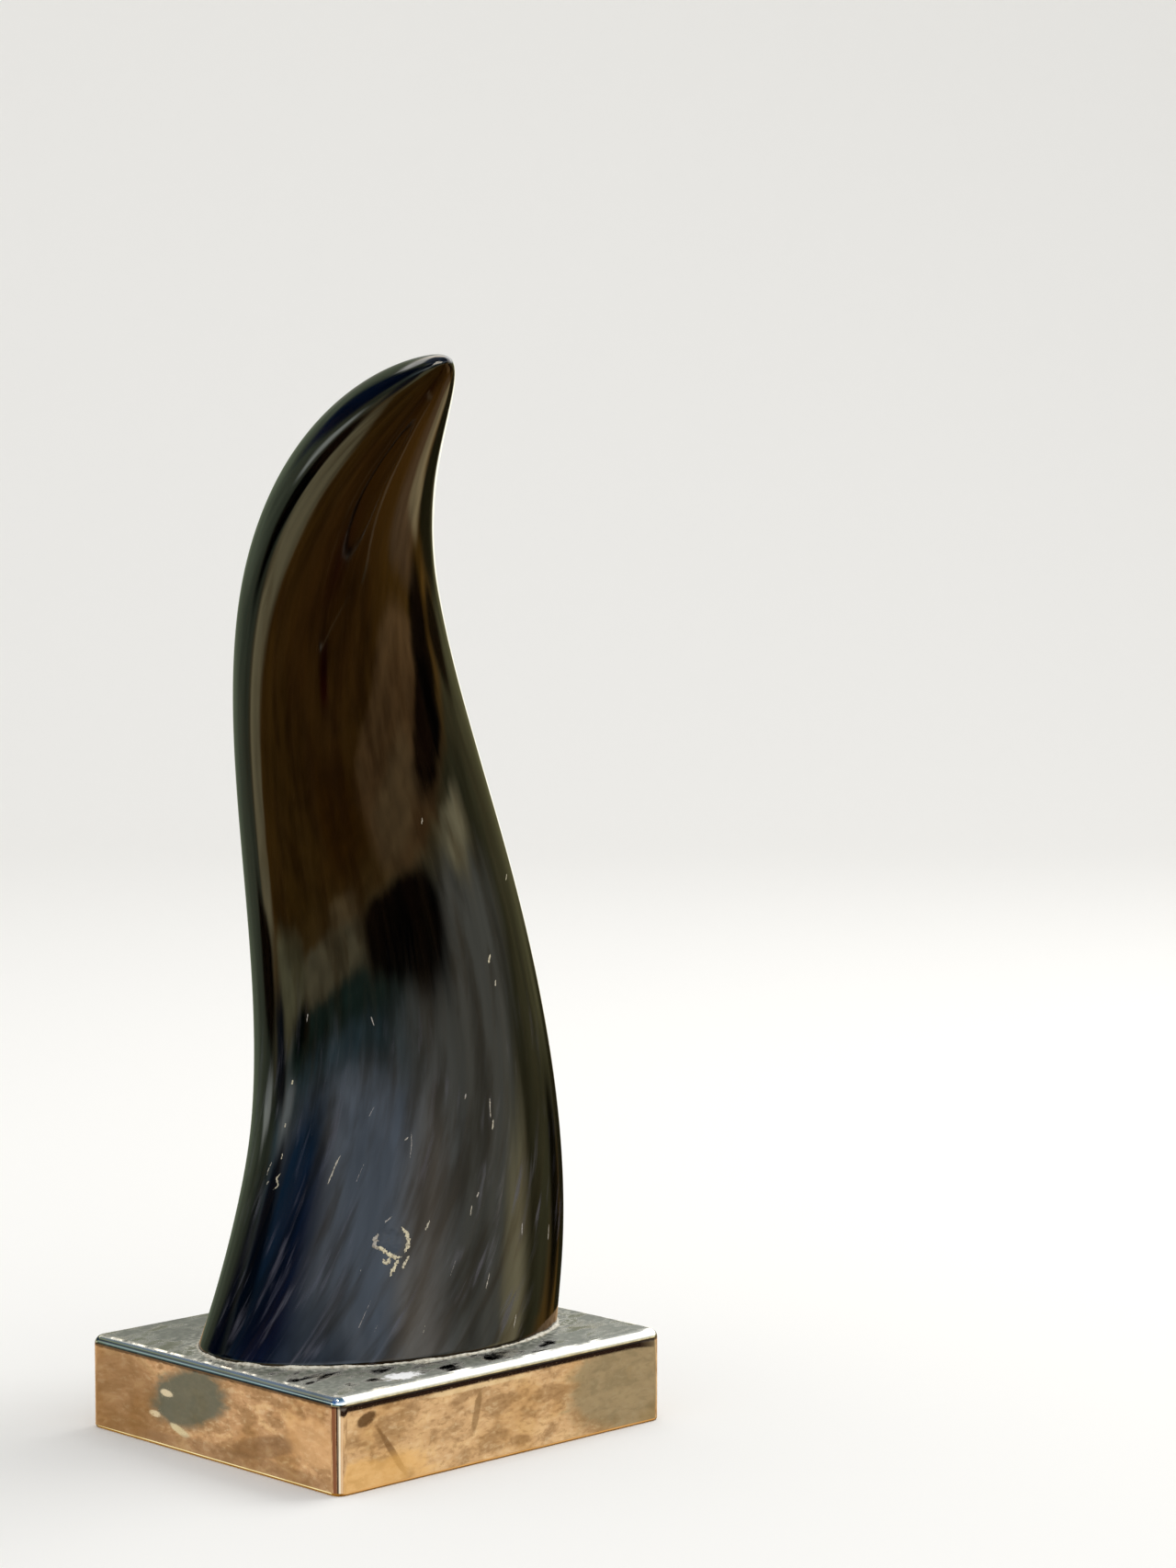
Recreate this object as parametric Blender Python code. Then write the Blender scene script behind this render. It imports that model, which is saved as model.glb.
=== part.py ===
"""A polished water buffalo horn standing on a silver-plated rectangular plinth.

Metres, +Z up. The origin is the middle of the plinth's underside, +X runs along its
longer side and +Y along its shorter side. The horn leans out over the corner at -X -Y.
"""

import math

import bmesh
import bpy
import numpy as np
from mathutils import Matrix, Vector

MM = 0.001

# Plinth: a block four and a half by four by one inch, its edges rounded by polishing
PLINTH_LENGTH = 116.0 * MM
PLINTH_DEPTH = 103.0 * MM
PLINTH_HEIGHT = 25.4 * MM
PLINTH_CORNER_RADIUS = 3.0 * MM
PLINTH_TOP_RADIUS = 2.6 * MM
PLINTH_UNDER_RADIUS = 0.8 * MM
ROUNDING_STEPS = 6
UNDER_STEPS = 3

# The gap left between two pieces that touch
GAP = 0.3 * MM

# Horn: each station is the middle of one oval section, then its two half widths.
# x and y from the middle of the plinth, z above the horn's foot, all in millimetres
FOOT = (-0.5, -2.0, 0.0, 52.5, 36.0)
WAIST = (18.5, 8.5, 46.5, 46.0, 35.0)
BACK = (20.5, 18.5, 105.0, 40.0, 33.0)
SHOULDER = (6.0, 16.0, 158.5, 34.5, 27.0)
BEND = (-16.0, -4.5, 204.0, 27.5, 22.5)
NECK = (-37.0, -43.0, 237.0, 19.0, 16.5)
TIP = (-55.5, -90.5, 258.0, 9.0, 8.0)
STATIONS = (FOOT, WAIST, BACK, SHOULDER, BEND, NECK, TIP)
# The ovals' long axis is turned this far from +X
SECTION_TURN = math.radians(-10.0)
# The sections lie flat at the foot and are square to the horn from this share of its length on
FOOT_BLEND = 0.3
# The higher this power, the later and blunter the tip closes
TIP_BLUNTNESS = 13.0
TIP_START = 0.9
HORN_RINGS = 46
TIP_RINGS = 12
HORN_SEGMENTS = 56

# Bead of adhesive round the foot, uneven as it was squeezed out
BEAD_WIDTH = 1.5 * MM
BEAD_HEIGHT = 1.0 * MM
BEAD_UNEVENNESS = 0.16
BEAD_WAVES = ((5, 0.0, 1.0), (11, 1.0, 0.7), (17, 2.0, 0.5))
# The bead's section: shares of its width out from the horn and of its height up
BEAD_SECTION = ((0.0, 0.0), (0.0, 1.0), (0.45, 0.8), (0.85, 0.4), (1.0, 0.0))
BEAD_SEGMENTS = 96


def clear_scene():
    for obj in list(bpy.data.objects):
        bpy.data.objects.remove(obj, do_unlink=True)


def make_material(name, colour, roughness, metallic):
    material = bpy.data.materials.new(name)
    material.use_nodes = True
    shader = material.node_tree.nodes["Principled BSDF"]
    shader.inputs["Base Color"].default_value = (*colour, 1.0)
    shader.inputs["Roughness"].default_value = roughness
    shader.inputs["Metallic"].default_value = metallic
    return material


def make_object(name, bm, material, location):
    bmesh.ops.recalc_face_normals(bm, faces=bm.faces[:])
    mesh = bpy.data.meshes.new(name)
    bm.to_mesh(mesh)
    bm.free()
    mesh.materials.append(material)
    mesh.shade_smooth()
    obj = bpy.data.objects.new(name, mesh)
    obj.location = location
    bpy.context.scene.collection.objects.link(obj)
    return obj


def add_ring(bm, points):
    """A closed loop of edges through the points. Returns its vertices and its edges."""
    verts = [bm.verts.new(point) for point in points]
    edges = [bm.edges.new((verts[i - 1], verts[i])) for i in range(len(verts))]
    return verts, edges


def bridge(bm, rings):
    """Joins each ring to the next with a band of faces."""
    for (_, low), (_, high) in zip(rings, rings[1:]):
        bmesh.ops.bridge_loops(bm, edges=low + high)


def natural_spline(values, t):
    """The natural cubic curve through values spaced evenly from 0 to 1, and its slope, at t."""
    values = np.asarray(values, float)
    count = len(values) - 1
    step = 1.0 / count
    matrix = np.eye(count + 1)
    right = np.zeros_like(values)
    for i in range(1, count):
        matrix[i, i - 1 : i + 2] = (1.0, 4.0, 1.0)
        right[i] = 6.0 * (values[i + 1] - 2.0 * values[i] + values[i - 1]) / step**2
    bend = np.linalg.solve(matrix, right)
    cell = np.clip((t / step).astype(int), 0, count - 1)
    b = (t / step - cell)[:, None]
    a = 1.0 - b
    low, high = values[cell], values[cell + 1]
    bend_low, bend_high = bend[cell], bend[cell + 1]
    at = a * low + b * high + ((a**3 - a) * bend_low + (b**3 - b) * bend_high) * step**2 / 6.0
    slope = (high - low) / step
    slope = slope + ((3 * b**2 - 1) * bend_high - (3 * a**2 - 1) * bend_low) * step / 6.0
    return at, slope


def horn_sections(steps, segments):
    """The horn's ovals at the given steps, from 0 at the foot to 1 at the tip."""
    values, slopes = natural_spline(np.array(STATIONS) * MM, steps)
    along = slopes[:, :3] / np.linalg.norm(slopes[:, :3], axis=1)[:, None]
    blend = np.clip(steps / FOOT_BLEND, 0.0, 1.0)
    blend = (blend * blend * (3.0 - 2.0 * blend))[:, None]
    normals = (1.0 - blend) * np.array([0.0, 0.0, 1.0]) + blend * along
    normals /= np.linalg.norm(normals, axis=1)[:, None]
    taper = np.sqrt(1.0 - steps**TIP_BLUNTNESS)
    angles = np.linspace(0.0, 2.0 * math.pi, segments, endpoint=False)[:, None]
    side = np.array([math.cos(SECTION_TURN), math.sin(SECTION_TURN), 0.0])
    sections = []
    for value, normal, shrink in zip(values, normals, taper):
        # Turning the side as little as possible keeps the sections from twisting
        side = side - normal * (side @ normal)
        side /= np.linalg.norm(side)
        front = np.cross(normal, side)
        wide = value[3] * shrink * np.cos(angles)
        deep = value[4] * shrink * np.sin(angles)
        sections.append(value[:3] + wide * side + deep * front)
    return sections


def make_horn(material):
    body = np.linspace(0.0, TIP_START, HORN_RINGS, endpoint=False)
    rounding = np.sin(np.linspace(0.0, math.pi / 2.0, TIP_RINGS + 1))
    steps = np.concatenate([body, TIP_START + (1.0 - TIP_START) * rounding])
    bm = bmesh.new()
    sections = horn_sections(steps, HORN_SEGMENTS)
    rings = [add_ring(bm, section) for section in sections[:-1]]
    bridge(bm, rings)
    bm.faces.new(rings[0][0])
    end = bmesh.ops.extrude_edge_only(bm, edges=rings[-1][1])["geom"]
    end = [item for item in end if isinstance(item, bmesh.types.BMVert)]
    bmesh.ops.pointmerge(bm, verts=end, merge_co=Vector(sections[-1].mean(axis=0)))
    return make_object("horn", bm, material, (0.0, 0.0, PLINTH_HEIGHT + GAP))


def level_edges(bm, z):
    """The edges that lie level at the height z."""
    return [e for e in bm.edges if all(abs(v.co.z - z) < 0.01 * MM for v in e.verts)]


def round_edges(bm, edges, radius, steps):
    bmesh.ops.bevel(bm, geom=edges, offset=radius, segments=steps, profile=0.5, affect="EDGES")


def make_plinth(material):
    bm = bmesh.new()
    size = Matrix.Diagonal((PLINTH_LENGTH, PLINTH_DEPTH, PLINTH_HEIGHT, 1.0))
    centre = Matrix.Translation((0.0, 0.0, PLINTH_HEIGHT / 2.0))
    bmesh.ops.create_cube(bm, size=1.0, matrix=centre @ size)
    upright = [e for e in bm.edges if abs(e.verts[0].co.z - e.verts[1].co.z) > MM]
    round_edges(bm, upright, PLINTH_CORNER_RADIUS, ROUNDING_STEPS)
    round_edges(bm, level_edges(bm, PLINTH_HEIGHT), PLINTH_TOP_RADIUS, ROUNDING_STEPS)
    round_edges(bm, level_edges(bm, 0.0), PLINTH_UNDER_RADIUS, UNDER_STEPS)
    return make_object("plinth", bm, material, (0.0, 0.0, 0.0))


def make_bead(material):
    """The bead keeps one gap from the horn's wall and one from the plinth's top."""
    foot, above = horn_sections(np.array([0.0, 0.02]), BEAD_SEGMENTS)
    rise = (above - foot) / (above - foot)[:, 2:3]
    ahead = np.roll(foot, -1, axis=0) - np.roll(foot, 1, axis=0)
    outward = np.stack([ahead[:, 1], -ahead[:, 0], np.zeros(BEAD_SEGMENTS)], axis=1)
    outward /= np.linalg.norm(outward, axis=1)[:, None]
    turn = np.linspace(0.0, 2.0 * math.pi, BEAD_SEGMENTS, endpoint=False)
    waves = sum(height * np.sin(count * turn + start) for count, start, height in BEAD_WAVES)
    size = 1.0 + BEAD_UNEVENNESS * waves
    bm = bmesh.new()
    rings = []
    for at, up, out, scale in zip(foot, rise, outward, size):
        points = [
            at + up * share_up * BEAD_HEIGHT * scale + out * (GAP + share_out * BEAD_WIDTH * scale)
            for share_out, share_up in BEAD_SECTION
        ]
        rings.append(add_ring(bm, points))
    bridge(bm, rings + rings[:1])
    return make_object("glue_bead", bm, material, (0.0, 0.0, PLINTH_HEIGHT + GAP))


clear_scene()
make_plinth(make_material("polished silver plate", (0.90, 0.88, 0.84), 0.10, 1.0))
make_horn(make_material("polished horn", (0.020, 0.016, 0.013), 0.15, 0.0))
make_bead(make_material("dried adhesive", (0.70, 0.66, 0.58), 0.50, 0.0))
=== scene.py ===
# %% [markdown]
# # A polished buffalo horn on a silver-plated plinth
#
# The object is a real water buffalo horn, buffed to a wet gloss and glued upright on a
# mirror-bright plinth. Nearly all that the eye sees on it is reflection, so this lesson
# spends as much care on what surrounds the horn as on the horn itself.
#
# The solids come from the frame. Every cell below adds one finish or one fine surface.

import math

import bmesh
import bpy
import numpy as np
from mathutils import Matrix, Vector, noise


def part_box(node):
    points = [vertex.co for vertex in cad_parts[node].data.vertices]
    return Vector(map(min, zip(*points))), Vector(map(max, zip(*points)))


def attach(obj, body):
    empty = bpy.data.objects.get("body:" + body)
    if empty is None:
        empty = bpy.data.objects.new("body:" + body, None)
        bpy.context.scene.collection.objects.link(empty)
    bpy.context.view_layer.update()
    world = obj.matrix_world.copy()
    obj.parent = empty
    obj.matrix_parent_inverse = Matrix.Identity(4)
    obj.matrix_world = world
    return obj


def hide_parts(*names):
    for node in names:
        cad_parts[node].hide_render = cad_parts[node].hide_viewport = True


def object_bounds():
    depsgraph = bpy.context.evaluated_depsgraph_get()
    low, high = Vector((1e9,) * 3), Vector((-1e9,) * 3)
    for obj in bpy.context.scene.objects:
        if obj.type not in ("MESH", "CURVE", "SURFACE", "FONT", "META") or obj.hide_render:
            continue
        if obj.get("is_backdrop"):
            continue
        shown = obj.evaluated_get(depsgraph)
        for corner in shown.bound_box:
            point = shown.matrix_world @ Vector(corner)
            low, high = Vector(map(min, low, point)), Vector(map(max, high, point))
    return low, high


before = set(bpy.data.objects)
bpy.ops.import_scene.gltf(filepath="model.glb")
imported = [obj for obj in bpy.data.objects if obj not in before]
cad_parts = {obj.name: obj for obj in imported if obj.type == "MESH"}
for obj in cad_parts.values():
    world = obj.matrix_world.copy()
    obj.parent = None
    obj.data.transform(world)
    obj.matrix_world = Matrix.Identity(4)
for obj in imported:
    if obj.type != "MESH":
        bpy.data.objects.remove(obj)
solid_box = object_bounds()
print("nodes:", sorted(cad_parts))

# %% [markdown]
# ## Units, colours and nodes
#
# The frame is in metres, and a workshop drawing of a horn is in millimetres, so one
# constant turns the one into the other. Colours are picked as sRGB hex values, as on any
# screen, and a shader wants them linear: one function does that. One more adds a node.

# %% Small helpers
MM = 0.001
# Without a seed of its own, noise_vector gives other values at each run
NOISE_SEED = 1
noise.seed_set(NOISE_SEED)


def linear(hex_colour, gain=1.0):
    """An sRGB hex colour as linear red, green, blue and alpha."""
    parts = [int(hex_colour[i : i + 2], 16) / 255.0 for i in (0, 2, 4)]
    flat = [p / 12.92 if p <= 0.04045 else ((p + 0.055) / 1.055) ** 2.4 for p in parts]
    return (*(gain * p for p in flat), 1.0)


def add(tree, kind, inputs=None, **settings):
    """Adds one shader node. inputs gives each socket a value, or what feeds it."""
    node = tree.nodes.new("ShaderNode" + kind)
    for name, value in settings.items():
        setattr(node, name, value)
    for name, value in (inputs or {}).items():
        if isinstance(value, bpy.types.Node):
            # A node stands for its first live output
            value = next(output for output in value.outputs if output.enabled)
        if isinstance(value, bpy.types.NodeSocket):
            tree.links.new(value, node.inputs[name])
        else:
            node.inputs[name].default_value = value
    return node


def new_material(name):
    material = bpy.data.materials.new(name)
    material.use_nodes = True
    tree = material.node_tree
    tree.nodes.clear()
    return material, tree


def new_object(name, data):
    obj = bpy.data.objects.new(name, data)
    bpy.context.scene.collection.objects.link(obj)
    return obj


def object_from_bmesh(name, bm):
    mesh = bpy.data.meshes.new(name)
    bm.to_mesh(mesh)
    bm.free()
    return new_object(name, mesh)


def object_from_points(name, points, faces):
    mesh = bpy.data.meshes.new(name)
    mesh.from_pydata(points, [], faces)
    return new_object(name, mesh)


print("mid grey 808080 is", round(linear("808080")[0], 3), "in linear light")

# %% [markdown]
# ## The camera
#
# The photograph was taken from the corner that the horn leans over, a little under a
# metre away and about as high as the tip. A long lens keeps the uprights parallel. Its
# place was worked out from the plinth's straight edges, so the render frames the object
# as the photograph does.

# %% Camera
CAMERA_AT = Vector((-664.7, -762.0, 253.5)) * MM
LOOK_ALONG = Vector((0.6990, 0.7151, 0.0)).normalized()
LOOK_DOWN = math.radians(4.487)
LENS_MM = 86.6
SENSOR_MM = 36.0

camera_data = bpy.data.cameras.new("camera")
camera_data.sensor_width = SENSOR_MM
camera_data.lens = LENS_MM
camera = new_object("camera", camera_data)
aim = LOOK_ALONG * math.cos(LOOK_DOWN) - Vector((0.0, 0.0, math.sin(LOOK_DOWN)))
camera.location = CAMERA_AT
camera.rotation_euler = aim.to_track_quat("-Z", "Y").to_euler()
bpy.context.scene.camera = camera
bpy.context.scene.view_settings.view_transform = "Standard"
print("the camera stands", round(CAMERA_AT.length, 3), "m from the plinth")

# %% [markdown]
# ## The stage
#
# The floor is plain and pale, and it sweeps up into the backdrop in one curve, so there
# is no horizon. It could be a plane with a wall behind it, but the corner would show.

# %% Floor and backdrop in one sweep
SWEEP_FRONT = 2.5
SWEEP_BACK = 1.6
SWEEP_RADIUS = 0.8
SWEEP_HEIGHT = 3.0
SWEEP_HALF_WIDTH = 4.0
SWEEP_STEPS = 24


def make_sweep():
    outline = [(-SWEEP_FRONT, 0.0)]
    for k in range(SWEEP_STEPS + 1):
        angle = math.pi / 2.0 * k / SWEEP_STEPS
        along = SWEEP_BACK + SWEEP_RADIUS * math.sin(angle)
        outline.append((along, SWEEP_RADIUS * (1.0 - math.cos(angle))))
    outline.append((SWEEP_BACK + SWEEP_RADIUS, SWEEP_HEIGHT))
    bm = bmesh.new()
    across = Vector((LOOK_ALONG.y, -LOOK_ALONG.x, 0.0)) * SWEEP_HALF_WIDTH
    rows = []
    for along, up in outline:
        middle = LOOK_ALONG * along + Vector((0.0, 0.0, up))
        rows.append((bm.verts.new(middle - across), bm.verts.new(middle + across)))
    for low, high in zip(rows, rows[1:]):
        bm.faces.new((low[0], low[1], high[1], high[0]))
    return object_from_bmesh("sweep", bm)


sweep = make_sweep()
sweep.data.shade_smooth()
# Matt paint scatters light evenly, so the floor shows soft shadows and no highlights
matt_white, tree = new_material("matt white painted board")
shader = add(tree, "BsdfDiffuse", {"Color": linear("f4f3f0")})
add(tree, "OutputMaterial", {"Surface": shader})
sweep.data.materials.append(matt_white)
# Seen by the camera, but kept out of the gloss, which mirrors the painted pieces below
sweep.visible_glossy = False
sweep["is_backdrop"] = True
print("the sweep has", len(sweep.data.polygons), "faces")

# %% [markdown]
# ## Soft light
#
# One even white surround lights the matt things. A large soft box high on the right gives
# the object its shape and its shadow on the floor.

# %% Surround and soft box
SURROUND_STRENGTH = 0.85
SOFT_BOX_AT = Vector((0.9, -0.2, 1.3))
SOFT_BOX_SIDE = 0.9
SOFT_BOX_WATTS = 9.0

surround = bpy.data.worlds.new("soft surround")
surround.use_nodes = True
background = surround.node_tree.nodes["Background"]
background.inputs["Color"].default_value = linear("ffffff")
background.inputs["Strength"].default_value = SURROUND_STRENGTH
bpy.context.scene.world = surround

soft_box_data = bpy.data.lights.new("soft box", "AREA")
soft_box_data.size = SOFT_BOX_SIDE
soft_box_data.energy = SOFT_BOX_WATTS
soft_box = new_object("soft box", soft_box_data)
soft_box.location = SOFT_BOX_AT
soft_box.rotation_euler = (-SOFT_BOX_AT).to_track_quat("-Z", "Y").to_euler()
soft_box.visible_glossy = False
print("the soft box is", round(SOFT_BOX_AT.length, 2), "m away")

# %% [markdown]
# ## What the gloss sees
#
# A polished black horn is a dark mirror, and silver plate is a bright one. In an empty
# white room both would look like plastic. So the object stands inside a painted dome, with
# a sky, a dark skyline, a pale distance and brown wood below. It is seen in reflections
# only: the camera sees the plain floor, and no coloured light falls on the object.
#
# The dome is painted with a list of soft patches. Each has a bearing in degrees, where 0
# is straight away from the camera, 90 is to the right and 180 is back to the camera.

# %% The painted dome
DOME_RADIUS = 6.0
DOME_COLUMNS = 360
DOME_ROWS = 180
DOME_MIDDLE = Vector((0.0, 0.0, 0.15))
# The dome's plain colours: height in degrees, colour, brightness
LEVELS = (
    (-90, "6d3414", 1.0),
    (-80, "85551a", 1.0),
    (-62, "9f6c28", 1.0),
    (-40, "a0712c", 1.0),
    (-15, "a67931", 1.0),
    (-6, "bb924e", 1.0),
    (2, "d8cc9c", 1.0),
    (9, "5c7566", 1.0),
    (15, "93bccb", 1.0),
    (21, "ddeefb", 1.0),
    (33, "ffffff", 1.25),
    (40, "c9dcf2", 1.0),
    (52, "87a5cf", 1.0),
    (65, "4f7397", 1.0),
    (90, "4b6670", 1.0),
)
# name, bearing, height, half width, half height, tilt, softness, colour, brightness
PATCHES = (
    ("lit ground", 104, -24, 47, 21, 6, 0.12, "cf9f66", 1.2),
    ("brightest ground", 124, -16, 25, 9, 10, 0.3, "f0c486", 1.0),
    ("brown ground", 172, -30, 20, 16, 0, 0.5, "8a5a0c", 1.0),
    ("red ground", 163, -66, 8, 8, 0, 0.6, "6a2208", 1.0),
    ("pale verge", 187, -7, 12, 4, 0, 0.4, "f0cd90", 1.0),
    ("far path", 212, 0, 36, 5.0, 0, 0.25, "ecdcaa", 1.0),
    ("near path", 252, -4, 18, 7, 0, 0.4, "efe8b0", 1.0),
    ("white cloud", 166, 29, 46, 9, 0, 0.5, "d4e6fc", 1.75),
    ("grey haze", 108, 16, 46, 5, 0, 0.5, "bfc2bc", 1.9),
    ("warm haze", 96, 9, 50, 6, 0, 0.5, "a4a498", 2.1),
    ("low cloud", 118, 25, 28, 6, 0, 0.5, "fffaf0", 1.8),
    ("blue gap", 250, 35, 34, 14, 6, 0.4, "4a7db0", 1.0),
    ("deep blue", 246, 41, 32, 8, 0, 0.6, "38559a", 1.0),
    ("small cloud", 262, 14, 10, 6, 20, 0.5, "f4ffff", 1.3),
    ("skyline", 213, 8.5, 50, 3.2, 0, 0.35, "4a685c", 1.5),
    ("dark bush", 243, 6, 10, 3.5, 0, 0.4, "05261a", 1.0),
    ("dark shape", 147, 3.4, 31, 6.6, -4, 0.2, "020101", 1.0),
    ("left dark", 272, 4, 7, 8, 0, 0.4, "303c4a", 1.0),
    ("left trees", 318, 8, 38, 40, 0, 0.2, "75806a", 1.0),
    ("left slate", 300, 46, 40, 10, 0, 0.3, "66778f", 1.0),
    ("left high", 328, 32, 18, 4.5, 0, 0.3, "f4f4ee", 1.9),
    ("navy band", 304, 20, 20, 9, -10, 0.3, "0a2446", 1.0),
    ("left gleam", 293, 3.5, 7, 3, 0, 0.4, "eaf2e8", 1.5),
    ("left deep blue", 272, 25, 11, 7, 0, 0.4, "0e3050", 1.0),
    ("left ground", 279, -24, 8, 16, 0, 0.3, "f4e4b0", 1.2),
    ("dark hollow", 289, -8, 11, 6, -12, 0.25, "000000", 1.0),
    ("far shade", 6, -36, 15, 30, 0, 0.3, "12100a", 1.0),
    ("olive verge", 48, 0, 46, 7, 0, 0.3, "84805a", 1.0),
    ("right shade", 20, -12, 12, 10, 0, 0.4, "2e2b18", 1.0),
    ("dark verge", 40, -7, 9, 5, 0, 0.4, "241f10", 1.0),
    ("hedge", 70, -15.5, 36, 7, 8, 0.25, "0a0502", 1.0),
    ("right tan", 38, -36, 11, 12, 0, 0.4, "b08a60", 1.0),
    ("right gleam", 29, -27, 5, 7, 0, 0.4, "e0c896", 1.1),
    ("bright slit", 5, 0, 5, 8, 0, 0.3, "fffbe8", 1.8),
    ("bright gap", 88, 2, 13, 3.5, 0, 0.4, "fff2c0", 1.7),
    ("right sky", 40, 36, 48, 25, 0, 0.2, "ffffff", 2.2),
    ("far haze", 356, 12, 12, 6, 0, 0.4, "84887a", 1.0),
    ("straight sky", 352, 38, 14, 13, 0, 0.3, "fff4e4", 2.2),
)
# How finely, and by how many degrees, the edges of the patches wander
WANDERS = ((3.0, 1.2), (9.0, 1.2), (24.0, 0.6))
# They wander this many times further along than up
WANDER_WIDENING = 1.6
# Streaks over all of it: how fine, how much finer upward than along, and how strong
STREAK_SCALE = 6.0
STREAK_FLATTENING = (1.0, 1.0, 2.5)
STREAK_DEPTH = 0.3
# The higher this power, the squarer the patches
PATCH_POWER = 3.0


def dome_colours(directions):
    """The dome's colour in each direction, where +Y is straight away from the camera."""
    bearing = np.degrees(np.arctan2(directions[:, 0], directions[:, 1]))
    height = np.degrees(np.arcsin(np.clip(directions[:, 2], -1.0, 1.0)))
    for scale, reach in WANDERS:
        push = np.array([noise.noise_vector(Vector(d) * scale) for d in directions])
        bearing = bearing + WANDER_WIDENING * reach * push[:, 0]
        height = height + reach * push[:, 1] * np.cos(np.radians(height))
    levels = [level for level, _, _ in LEVELS]
    stops = np.array([linear(colour, gain) for _, colour, gain in LEVELS])
    colours = np.stack([np.interp(height, levels, stops[:, k]) for k in range(4)], axis=1)
    for _, middle, level, half_width, half_height, tilt, softness, colour, gain in PATCHES:
        across = (bearing - middle + 180.0) % 360.0 - 180.0
        rise = height - level
        turn = math.radians(tilt)
        along = across * math.cos(turn) + rise * math.sin(turn)
        up = rise * math.cos(turn) - across * math.sin(turn)
        reach = np.abs(along / half_width) ** PATCH_POWER + np.abs(up / half_height) ** PATCH_POWER
        reach = reach ** (1.0 / PATCH_POWER)
        cover = np.clip((1.0 + softness - reach) / (2.0 * softness), 0.0, 1.0)
        cover = (cover * cover * (3.0 - 2.0 * cover))[:, None]
        colours = (1.0 - cover) * colours + cover * np.array(linear(colour, gain))
    places = directions * np.array(STREAK_FLATTENING) * STREAK_SCALE
    streaks = np.array([noise.fractal(Vector(place), 1.0, 2.2, 5) for place in places])
    colours[:, :3] *= (1.0 + STREAK_DEPTH * streaks)[:, None]
    return colours


def make_dome():
    bm = bmesh.new()
    bmesh.ops.create_uvsphere(bm, u_segments=DOME_COLUMNS, v_segments=DOME_ROWS, radius=DOME_RADIUS)
    dome = object_from_bmesh("painted_dome", bm)
    mesh = dome.data
    points = np.empty(len(mesh.vertices) * 3)
    mesh.vertices.foreach_get("co", points)
    colours = dome_colours(points.reshape(-1, 3) / DOME_RADIUS)
    paint = mesh.color_attributes.new("paint", "FLOAT_COLOR", "POINT")
    paint.data.foreach_set("color", colours.astype(np.float32).ravel())
    return dome


def only_in_gloss(obj):
    obj.visible_camera = False
    obj.visible_diffuse = False
    obj.visible_transmission = False
    obj.visible_shadow = False
    obj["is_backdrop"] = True


dome = make_dome()
dome.location = DOME_MIDDLE
dome.rotation_euler.z = math.atan2(-LOOK_ALONG.x, LOOK_ALONG.y)
# The paint glows by itself, so that its colours show in the gloss just as they are
painted_sky, tree = new_material("painted sky")
paint = add(tree, "VertexColor", layer_name="paint")
glow = add(tree, "Emission", {"Color": paint, "Strength": 1.0})
add(tree, "OutputMaterial", {"Surface": glow})
dome.data.materials.append(painted_sky)
only_in_gloss(dome)
print("the dome is painted with", len(PATCHES), "patches")

# %% [markdown]
# ## The wood that the plinth mirrors
#
# The plinth's upright faces mirror the wood just in front of them, which is sunlit and
# mottled, while the horn mirrors the browner wood further off. A real table top would do
# for both only if it was painted differently near and far. So a thin painted collar
# stands round the plinth, seen in reflections only. It leans out towards the floor, so
# that it is edge on to the horn's neck and hardly shows there.

# %% The collar
COLLAR_LOW = -7.0 * MM
COLLAR_HIGH = 22.0 * MM
# How far out from the plinth it stands, at its foot and at its top
COLLAR_GAP_LOW = 17.5 * MM
COLLAR_GAP_HIGH = 12.5 * MM
COLLAR_CORNER_STEPS = 12
# The plinth's corners, anticlockwise, as signs of x and y
CORNERS = ((1, 1), (-1, 1), (-1, -1), (1, -1))
plinth_low, plinth_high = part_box("plinth")
PLINTH_HALF = np.array([plinth_high.x - plinth_low.x, plinth_high.y - plinth_low.y]) / 2.0


def make_collar():
    bm = bmesh.new()
    rims = []
    for quarter, (sx, sy) in enumerate(CORNERS):
        for k in range(COLLAR_CORNER_STEPS + 1):
            turn = math.pi / 2.0 * (quarter + k / COLLAR_CORNER_STEPS)
            corner = Vector((sx * PLINTH_HALF[0], sy * PLINTH_HALF[1], 0.0))
            out = Vector((math.cos(turn), math.sin(turn), 0.0))
            low = corner + out * COLLAR_GAP_LOW + Vector((0.0, 0.0, COLLAR_LOW))
            high = corner + out * COLLAR_GAP_HIGH + Vector((0.0, 0.0, COLLAR_HIGH))
            rims.append((bm.verts.new(low), bm.verts.new(high)))
    for (low, high), (next_low, next_high) in zip(rims, rims[1:] + rims[:1]):
        bm.faces.new((low, next_low, next_high, high))
    return object_from_bmesh("painted_collar", bm)


collar = make_collar()
only_in_gloss(collar)
print("the collar has", len(collar.data.polygons), "faces")

# %% Grain of the painted wood
# Sunlit wood glows like the sky. The plinth's faces are seen aslant, so the blotches are
# twice as long along the collar as they are high: 9 by 4.5 mm, and 2.4 by 1.2 mm for specks
painted_wood, tree = new_material("painted wood")
place = add(tree, "TexCoord").outputs["Object"]
grains = []
for along_mm, high_mm in ((9.0, 4.5), (2.4, 1.2)):
    inputs = {"Vector": place, "Scale": (along_mm * MM, along_mm * MM, high_mm * MM)}
    sized = add(tree, "Mapping", inputs, vector_type="TEXTURE")
    inputs = {"Vector": sized, "Scale": 1.0, "Detail": 5.0, "Distortion": 0.6}
    grains.append(add(tree, "TexNoise", inputs))
blotches, specks = grains
sides = add(tree, "SeparateXYZ", {"Vector": place})
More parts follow.
